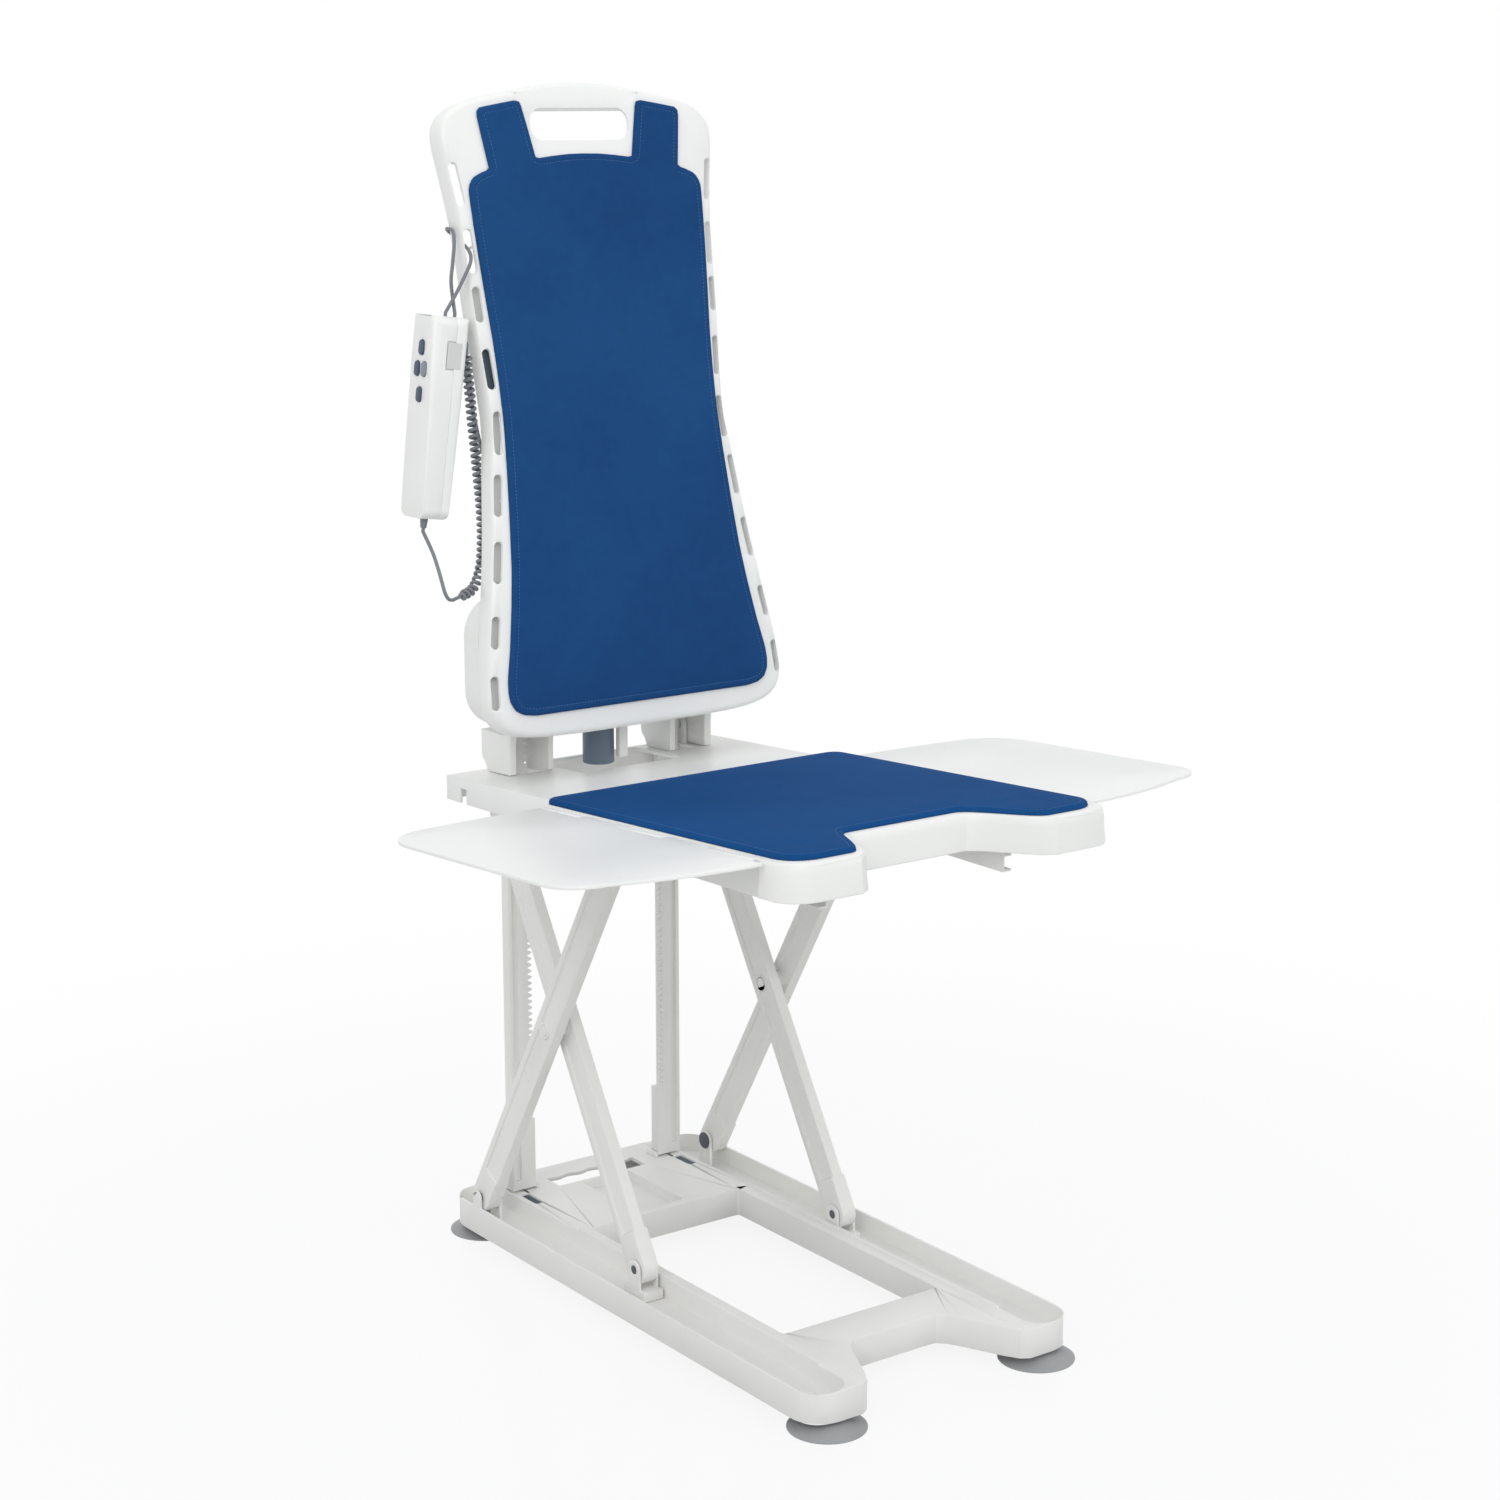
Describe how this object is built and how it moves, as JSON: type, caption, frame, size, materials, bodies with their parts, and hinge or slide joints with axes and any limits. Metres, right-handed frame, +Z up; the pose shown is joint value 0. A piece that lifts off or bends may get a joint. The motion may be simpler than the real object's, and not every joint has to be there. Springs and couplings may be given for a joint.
{
  "type": "bath lift",
  "caption": "Battery bath lift: scissor frame on suction cups, padded seat with folding side flaps, and a reclining backrest with a corded handset.",
  "frame": {"origin": "middle of the footprint, on the floor under the suction cups", "axes": "+Z up, -Y the way the sitter faces, +X to the right seen from the front"},
  "size_m": [0.7002, 0.628, 1.1205],
  "materials": {
    "shell_white": "satin moulded plastic",
    "frame_grey": "fine-grained moulded plastic",
    "pad_blue": "woven cover",
    "cup_rubber": "matt",
    "pin_steel": "brushed",
    "wheel_brass": "satin",
    "dark_plastic": "matt",
    "board_green": "lacquered",
    "cord_grey": "matt"
  },
  "bodies": {
    "base": {"base_frame": "frame_grey", "cup_front_left": "cup_rubber", "cup_front_right": "cup_rubber", "cup_rear_left": "cup_rubber", "cup_rear_right": "cup_rubber", "cup_studs": "frame_grey", "base_pins": "dark_plastic", "rack_socket_left": "frame_grey", "rack_socket_right": "frame_grey"},
    "outer_legs": {"outer_leg_left": "frame_grey", "outer_leg_right": "frame_grey", "crossing_pins": "frame_grey", "crossing_spacers": "shell_white", "upper_shoe_pins": "pin_steel"},
    "upper_shoes": {"upper_shoe_left": "dark_plastic", "upper_shoe_right": "dark_plastic"},
    "inner_legs": {"inner_leg_left": "frame_grey", "inner_leg_right": "frame_grey", "lower_shoe_pins": "pin_steel"},
    "lower_shoes": {"lower_shoe_left": "frame_grey", "lower_shoe_right": "frame_grey"},
    "seat": {"seat_shell": "shell_white", "seat_rail_left": "frame_grey", "seat_rail_right": "frame_grey", "seat_pins": "pin_steel", "seat_pad": "pad_blue", "flap_pins": "pin_steel", "recline_pins": "pin_steel"},
    "left_flap": {"flap_left": "shell_white"},
    "right_flap": {"flap_right": "shell_white"},
    "backrest": {"backrest_shell": "shell_white", "backrest_pad": "pad_blue", "hinge_bracket_left": "shell_white", "hinge_bracket_right": "shell_white", "drive_front_cover": "shell_white", "drive_rear_cover": "shell_white", "cover_screws": "pin_steel", "motor": "dark_plastic", "worm": "pin_steel", "shaft_bushes": "wheel_brass", "handset_button_shell": "shell_white", "handset_back_shell": "shell_white", "battery_pack": "dark_plastic", "circuit_board": "board_green", "handset_gland": "dark_plastic", "drive_gland": "dark_plastic", "hanging_loop": "cord_grey", "curly_cord": "cord_grey", "handset_lead": "cord_grey", "drive_lead": "cord_grey"},
    "left_pinion": {"pinion_left": "pin_steel", "worm_wheel_left": "wheel_brass"},
    "right_pinion": {"pinion_right": "pin_steel", "worm_wheel_right": "wheel_brass"},
    "racks": {"rack_left": "frame_grey", "rack_right": "frame_grey"},
    "top_button": {"button_top": "dark_plastic"},
    "left_button": {"button_left": "dark_plastic"},
    "right_button": {"button_right": "dark_plastic"},
    "bottom_button": {"button_bottom": "dark_plastic"}
  },
  "joints": [
    {"name": "lift", "type": "hinge", "parent": "base", "child": "outer_legs", "pos_m": [0, 0.24425, 0.05], "axis": [-1, 0, 0], "range_deg": [-56.25, 0]},
    {"name": "crossing", "type": "hinge", "parent": "outer_legs", "child": "inner_legs", "pos_m": [0, 0.12348, 0.253], "axis": [-1, 0, 0], "range_deg": [0, 112.5]},
    {"name": "lower_slide_pivot", "type": "hinge", "parent": "inner_legs", "child": "lower_shoes", "pos_m": [0, 0.0027, 0.05], "axis": [-1, 0, 0], "range_deg": [-56.25, 0]},
    {"name": "upper_slide_pivot", "type": "hinge", "parent": "outer_legs", "child": "upper_shoes", "pos_m": [0, 0.0027, 0.456], "axis": [-1, 0, 0], "range_deg": [0, 56.25]},
    {"name": "seat_pivot", "type": "hinge", "parent": "inner_legs", "child": "seat", "pos_m": [0, 0.24425, 0.456], "axis": [-1, 0, 0], "range_deg": [-56.25, 0]},
    {"name": "left_flap_fold", "type": "hinge", "parent": "seat", "child": "left_flap", "pos_m": [-0.1741, 0, 0.48401], "axis": [0, 0.9981, -0.061], "range_deg": [0, 90]},
    {"name": "right_flap_fold", "type": "hinge", "parent": "seat", "child": "right_flap", "pos_m": [0.1741, 0, 0.48401], "axis": [0, -0.9981, 0.061], "range_deg": [0, 90]},
    {"name": "recline", "type": "hinge", "parent": "seat", "child": "backrest", "pos_m": [0, 0.26, 0.492], "axis": [-1, 0, 0], "range_deg": [0, 40]},
    {"name": "rack_slide", "type": "slide", "parent": "backrest", "child": "racks", "axis": [0, 0, 1], "range_m": [0, 0.38128]},
    {"name": "left_pinion_spin", "type": "hinge", "parent": "backrest", "child": "left_pinion", "pos_m": [-0.0617, 0.26, 0.575], "axis": [0, 1, 0], "range_deg": [0, 1365.34]},
    {"name": "right_pinion_spin", "type": "hinge", "parent": "backrest", "child": "right_pinion", "pos_m": [0.0617, 0.26, 0.575], "axis": [0, -1, 0], "range_deg": [0, 1365.34]},
    {"name": "top_press", "type": "slide", "parent": "backrest", "child": "top_button", "axis": [0.9914, 0, -0.1305], "range_m": [0, 0.0014], "stiffness_N_per_m": 900},
    {"name": "left_press", "type": "slide", "parent": "backrest", "child": "left_button", "axis": [0.9914, 0, -0.1305], "range_m": [0, 0.0014], "stiffness_N_per_m": 900},
    {"name": "right_press", "type": "slide", "parent": "backrest", "child": "right_button", "axis": [0.9914, 0, -0.1305], "range_m": [0, 0.0014], "stiffness_N_per_m": 900},
    {"name": "bottom_press", "type": "slide", "parent": "backrest", "child": "bottom_button", "axis": [0.9914, 0, -0.1305], "range_m": [0, 0.0014], "stiffness_N_per_m": 900}
  ],
  "couplings": [
    {"joint": "crossing", "follows": "lift", "ratio": -2},
    {"joint": "lower_slide_pivot", "follows": "lift", "ratio": 1},
    {"joint": "upper_slide_pivot", "follows": "lift", "ratio": -1},
    {"joint": "seat_pivot", "follows": "lift", "ratio": 1},
    {"joint": "rack_slide", "follows": "lift", "m_per_rad": -0.38836},
    {"joint": "left_pinion_spin", "follows": "lift", "ratio": -24.273},
    {"joint": "right_pinion_spin", "follows": "lift", "ratio": -24.273}
  ]
}
